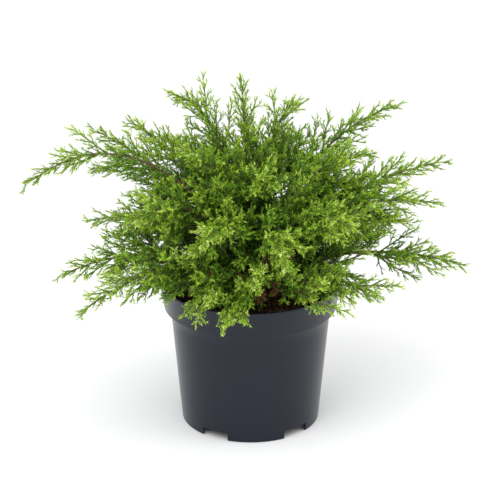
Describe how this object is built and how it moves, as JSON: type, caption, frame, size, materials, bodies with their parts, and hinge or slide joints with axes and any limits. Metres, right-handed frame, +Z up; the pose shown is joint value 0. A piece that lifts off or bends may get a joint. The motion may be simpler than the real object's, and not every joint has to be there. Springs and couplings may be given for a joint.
{
  "type": "potted sea green juniper",
  "caption": "Bushy sea green juniper with arching, feathery plumes of green needles on a short trunk, in a round dark nursery pot with a notched foot.",
  "frame": {"origin": "on the ground under the middle of the pot", "axes": "+Z up, -Y towards the front of the plant as pictured, +X to its right, along the crown's widest spread"},
  "size_m": [0.4634, 0.3027, 0.377],
  "materials": {
    "pot": "smooth satin injection-moulded plastic, dark blue-grey",
    "growing_medium": "coarse moist bark and peat, dark reddish brown",
    "bark": "thin flaking brown bark",
    "foliage": "dull green needles, light yellow-green at the tips"
  },
  "bodies": {
    "root": {"pot": "pot", "growing_medium": "growing_medium", "trunk": "bark", "bough_low_right": "bark", "bough_low_right_front": "bark", "bough_low_front_right": "bark", "bough_low_front": "bark", "bough_low_front_left": "bark", "bough_low_left_front": "bark", "bough_low_left": "bark", "bough_low_back_left": "bark", "bough_low_back": "bark", "bough_low_back_right": "bark", "bough_low_right_back": "bark", "bough_middle_left": "bark", "bough_middle_right": "bark", "bough_middle_right_front": "bark", "bough_middle_front_right": "bark", "bough_middle_front": "bark", "bough_middle_front_left": "bark", "bough_middle_left_front": "bark", "bough_middle_back_left": "bark", "bough_middle_back_right": "bark", "bough_upper_right": "bark", "bough_upper_back_right": "bark", "bough_upper_front_right": "bark", "bough_upper_front": "bark", "bough_upper_front_left": "bark", "bough_upper_left": "bark", "bough_upper_left_back": "bark", "bough_upper_back_left": "bark", "foliage_low_right": "foliage", "foliage_low_right_front": "foliage", "foliage_low_front_right": "foliage", "foliage_low_front": "foliage", "foliage_low_front_left": "foliage", "foliage_low_left_front": "foliage", "foliage_low_left": "foliage", "foliage_low_back_left": "foliage", "foliage_low_back": "foliage", "foliage_low_back_right": "foliage", "foliage_low_right_back": "foliage", "foliage_middle_left": "foliage", "foliage_middle_right": "foliage", "foliage_middle_right_front": "foliage", "foliage_middle_front_right": "foliage", "foliage_middle_front": "foliage", "foliage_middle_front_left": "foliage", "foliage_middle_left_front": "foliage", "foliage_middle_back_left": "foliage", "foliage_middle_back_right": "foliage", "foliage_upper_right": "foliage", "foliage_upper_back_right": "foliage", "foliage_upper_front_right": "foliage", "foliage_upper_front": "foliage", "foliage_upper_front_left": "foliage", "foliage_upper_left": "foliage", "foliage_upper_left_back": "foliage", "foliage_upper_back_left": "foliage", "foliage_crest": "foliage"}
  },
  "joints": []
}
